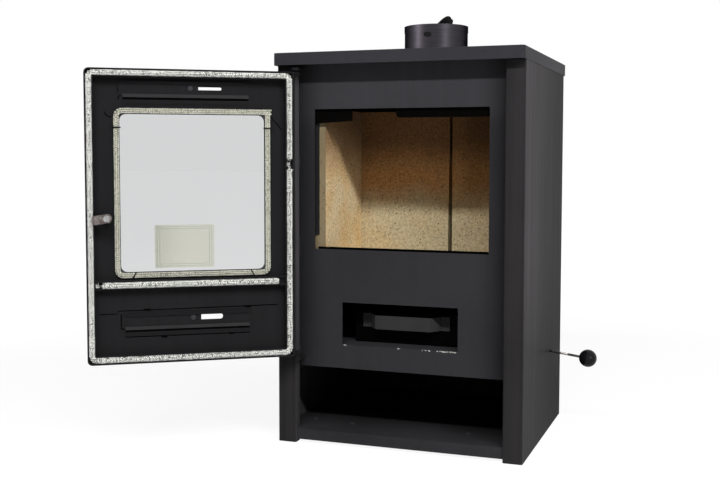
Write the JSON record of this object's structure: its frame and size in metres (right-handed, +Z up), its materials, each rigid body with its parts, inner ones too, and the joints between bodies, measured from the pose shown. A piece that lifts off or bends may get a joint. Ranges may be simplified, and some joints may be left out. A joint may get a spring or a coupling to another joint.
{
  "type": "wood stove",
  "caption": "Steel wood stove on a folded sheet body with a glazed hinged door, brick-lined firebox, ash drawer, wood compartment, flue collar with damper and air controls.",
  "frame": {"origin": "on the floor, under the middle of the back panel", "axes": "+X to the right as seen from the front, +Y from the front to the back, +Z up"},
  "size_m": [0.8421, 0.674, 0.8385],
  "materials": {
    "stove_steel": "matt black stove paint",
    "collar_steel": "satin black stove paint",
    "inner_steel": "dull black, unpolished",
    "zinc_steel": "zinc plated",
    "cast_iron": "as cast",
    "firebrick": "rough fireclay",
    "rope_white": "braided glass fibre",
    "rope_cream": "woven glass fibre tape",
    "window_glass": "clear ceramic glass",
    "label_paper": "bare adhesive label",
    "black_ball": "gloss black phenolic"
  },
  "bodies": {
    "stove": {"top_plate": "stove_steel", "side_panel_left": "stove_steel", "side_panel_right": "stove_steel", "front_panel": "stove_steel", "back_panel": "stove_steel", "roof_plate": "inner_steel", "flue_collar": "collar_steel", "firebox_side_left": "inner_steel", "firebox_side_right": "inner_steel", "firebox_back": "inner_steel", "firebox_floor": "inner_steel", "ash_floor": "inner_steel", "grate": "cast_iron", "side_brick_left": "firebrick", "side_brick_right": "firebrick", "back_brick_left": "firebrick", "back_brick_right": "firebrick", "floor_bricks_sides": "firebrick", "floor_bricks_ends": "firebrick", "retaining_strips": "inner_steel", "log_guard": "inner_steel", "baffle_bracket_left": "inner_steel", "baffle_bracket_right": "inner_steel", "baffle_plate": "inner_steel", "compartment_ceiling": "stove_steel", "compartment_shelf": "stove_steel", "shelf_screws": "zinc_steel", "shutter_guides": "stove_steel", "hinge_brackets": "stove_steel", "hinge_pins": "zinc_steel"},
    "door": {"door_skin": "stove_steel", "door_seal_channel": "stove_steel", "door_rope": "rope_white", "door_crossbar": "stove_steel", "crossbar_rope": "rope_white", "window_glass": "window_glass", "window_gasket": "rope_cream", "glass_label": "label_paper", "glass_clips": "inner_steel", "upper_slider_rails": "stove_steel", "lower_slider_rails": "stove_steel", "door_lugs": "stove_steel", "latch_bush": "stove_steel"},
    "latch": {"latch_spindle": "zinc_steel", "latch_tongue": "zinc_steel", "latch_nut": "zinc_steel", "latch_handle": "stove_steel"},
    "upper_air_slider": {"upper_slider": "stove_steel", "upper_slider_knob": "black_ball"},
    "lower_air_slider": {"lower_slider": "stove_steel", "lower_slider_knob": "black_ball"},
    "ash_drawer": {"drawer_box": "stove_steel", "drawer_handle": "stove_steel", "drawer_rivets": "zinc_steel"},
    "damper": {"damper_disc": "collar_steel", "damper_axle": "zinc_steel", "damper_handle": "collar_steel"},
    "air_valve": {"air_shutter": "stove_steel", "air_rod": "zinc_steel", "air_knob": "black_ball"}
  },
  "joints": [
    {"name": "door_swing", "type": "hinge", "parent": "stove", "child": "door", "pos_m": [-0.196, -0.41, 0.44], "axis": [0, 0, -1], "range_deg": [-145.42, 20]},
    {"name": "latch_turn", "type": "hinge", "parent": "door", "child": "latch", "pos_m": [-0.46748, -0.62933, 0.438], "axis": [-0.5676, 0.8233, 0], "range_deg": [0, 90]},
    {"name": "upper_slider_slide", "type": "slide", "parent": "door", "child": "upper_air_slider", "axis": [0.8233, 0.5676, 0], "range_m": [0, 0.045]},
    {"name": "lower_slider_slide", "type": "slide", "parent": "door", "child": "lower_air_slider", "axis": [0.8233, 0.5676, 0], "range_m": [0, 0.045]},
    {"name": "drawer_slide", "type": "slide", "parent": "stove", "child": "ash_drawer", "axis": [0, -1, 0], "range_m": [0, 0.185]},
    {"name": "damper_turn", "type": "hinge", "parent": "stove", "child": "damper", "pos_m": [0, -0.1405, 0.7915], "axis": [0, 1, 0], "range_deg": [-34, 56]},
    {"name": "air_valve_slide", "type": "slide", "parent": "stove", "child": "air_valve", "axis": [1, 0, 0], "range_m": [0, 0.045]}
  ]
}
